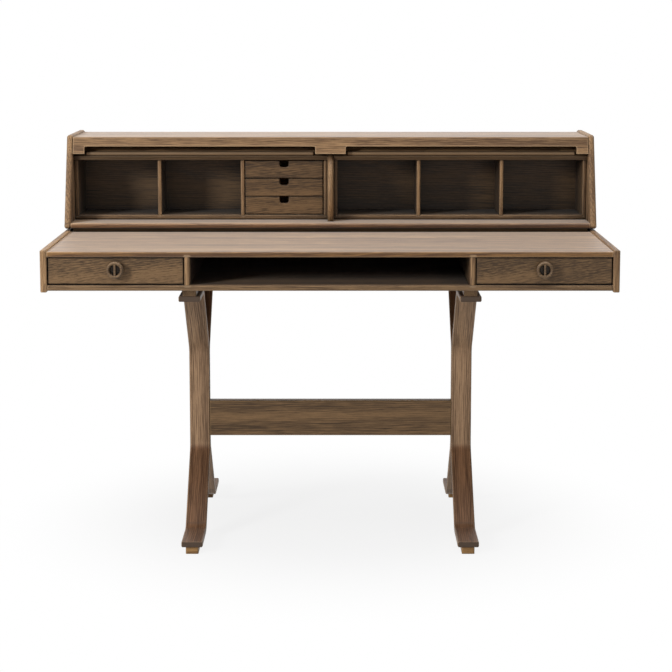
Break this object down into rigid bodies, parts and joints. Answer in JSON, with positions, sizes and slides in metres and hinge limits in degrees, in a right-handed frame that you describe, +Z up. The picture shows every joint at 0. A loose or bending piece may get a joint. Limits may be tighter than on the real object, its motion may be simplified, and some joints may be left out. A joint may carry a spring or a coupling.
{
  "type": "roll top desk",
  "caption": "Walnut roll top desk: shallow body with drawers and an open shelf on bent slat legs, and a slant-sided case with tambours, pigeonholes and small drawers.",
  "frame": {"origin": "on the floor, under the middle of the desk's bounding box", "axes": "+X to the sitter's right along the width, +Y to the back, +Z up"},
  "size_m": [1.38, 0.735, 0.996],
  "materials": {
    "walnut": "satin oil",
    "pale_walnut": "satin oil",
    "beech": "bare, sanded",
    "canvas": "plain weave",
    "steel": "zinc plated"
  },
  "bodies": {
    "desk": {"desk_back": "walnut", "desk_bottom": "walnut", "desk_side_left": "walnut", "desk_side_right": "walnut", "desk_top": "walnut", "drawer_runners": "beech", "foot_pads": "pale_walnut", "hutch_back": "walnut", "hutch_fascia": "walnut", "hutch_mullion": "walnut", "hutch_plinth": "walnut", "hutch_screws": "steel", "hutch_side_left": "walnut", "hutch_side_right": "walnut", "hutch_sill": "walnut", "hutch_top": "walnut", "leg_bolts": "steel", "leg_left_front": "walnut", "leg_left_rear": "walnut", "leg_right_front": "walnut", "leg_right_rear": "walnut", "leg_top_blocks": "walnut", "pigeonhole_back_left": "walnut", "pigeonhole_back_right": "walnut", "pigeonhole_floor_left": "walnut", "pigeonhole_floor_right": "walnut", "pigeonhole_top_left": "walnut", "pigeonhole_top_right": "walnut", "pigeonhole_uprights_left": "walnut", "pigeonhole_uprights_right": "walnut", "shelf_divider_left": "walnut", "shelf_divider_right": "walnut", "small_drawer_runners": "beech", "stretcher": "walnut", "stretcher_dowels": "beech"},
    "left_drawer": {"left_drawer_bottom": "beech", "left_drawer_box": "beech", "left_drawer_front": "walnut", "left_drawer_knob": "walnut", "left_knob_screw": "steel"},
    "left_tambour": {"left_tambour_canvas": "canvas", "left_tambour_rail": "walnut", "left_tambour_slats": "walnut"},
    "lower_small_drawer": {"lower_small_drawer_front": "walnut", "lower_small_drawer_tray": "beech"},
    "middle_small_drawer": {"middle_small_drawer_front": "walnut", "middle_small_drawer_tray": "beech"},
    "right_drawer": {"right_drawer_bottom": "beech", "right_drawer_box": "beech", "right_drawer_front": "walnut", "right_drawer_knob": "walnut", "right_knob_screw": "steel"},
    "right_tambour": {"right_tambour_canvas": "canvas", "right_tambour_rail": "walnut", "right_tambour_slats": "walnut"},
    "upper_small_drawer": {"upper_small_drawer_front": "walnut", "upper_small_drawer_tray": "beech"}
  },
  "joints": [
    {"name": "left_drawer_slide", "type": "slide", "parent": "desk", "child": "left_drawer", "axis": [0, -1, 0], "range_m": [0, 0.3]},
    {"name": "right_drawer_slide", "type": "slide", "parent": "desk", "child": "right_drawer", "axis": [0, -1, 0], "range_m": [0, 0.3]},
    {"name": "lower_small_drawer_slide", "type": "slide", "parent": "desk", "child": "lower_small_drawer", "axis": [0, -1, 0], "range_m": [0, 0.085]},
    {"name": "middle_small_drawer_slide", "type": "slide", "parent": "desk", "child": "middle_small_drawer", "axis": [0, -1, 0], "range_m": [0, 0.085]},
    {"name": "upper_small_drawer_slide", "type": "slide", "parent": "desk", "child": "upper_small_drawer", "axis": [0, -1, 0], "range_m": [0, 0.085]},
    {"name": "left_tambour_roll", "type": "hinge", "parent": "desk", "child": "left_tambour", "pos_m": [0, 0.23206, 0.83746], "axis": [-1, 0, 0], "range_deg": [-74.5, 0]},
    {"name": "right_tambour_roll", "type": "hinge", "parent": "desk", "child": "right_tambour", "pos_m": [0, 0.23206, 0.83746], "axis": [-1, 0, 0], "range_deg": [-74.5, 0]}
  ]
}
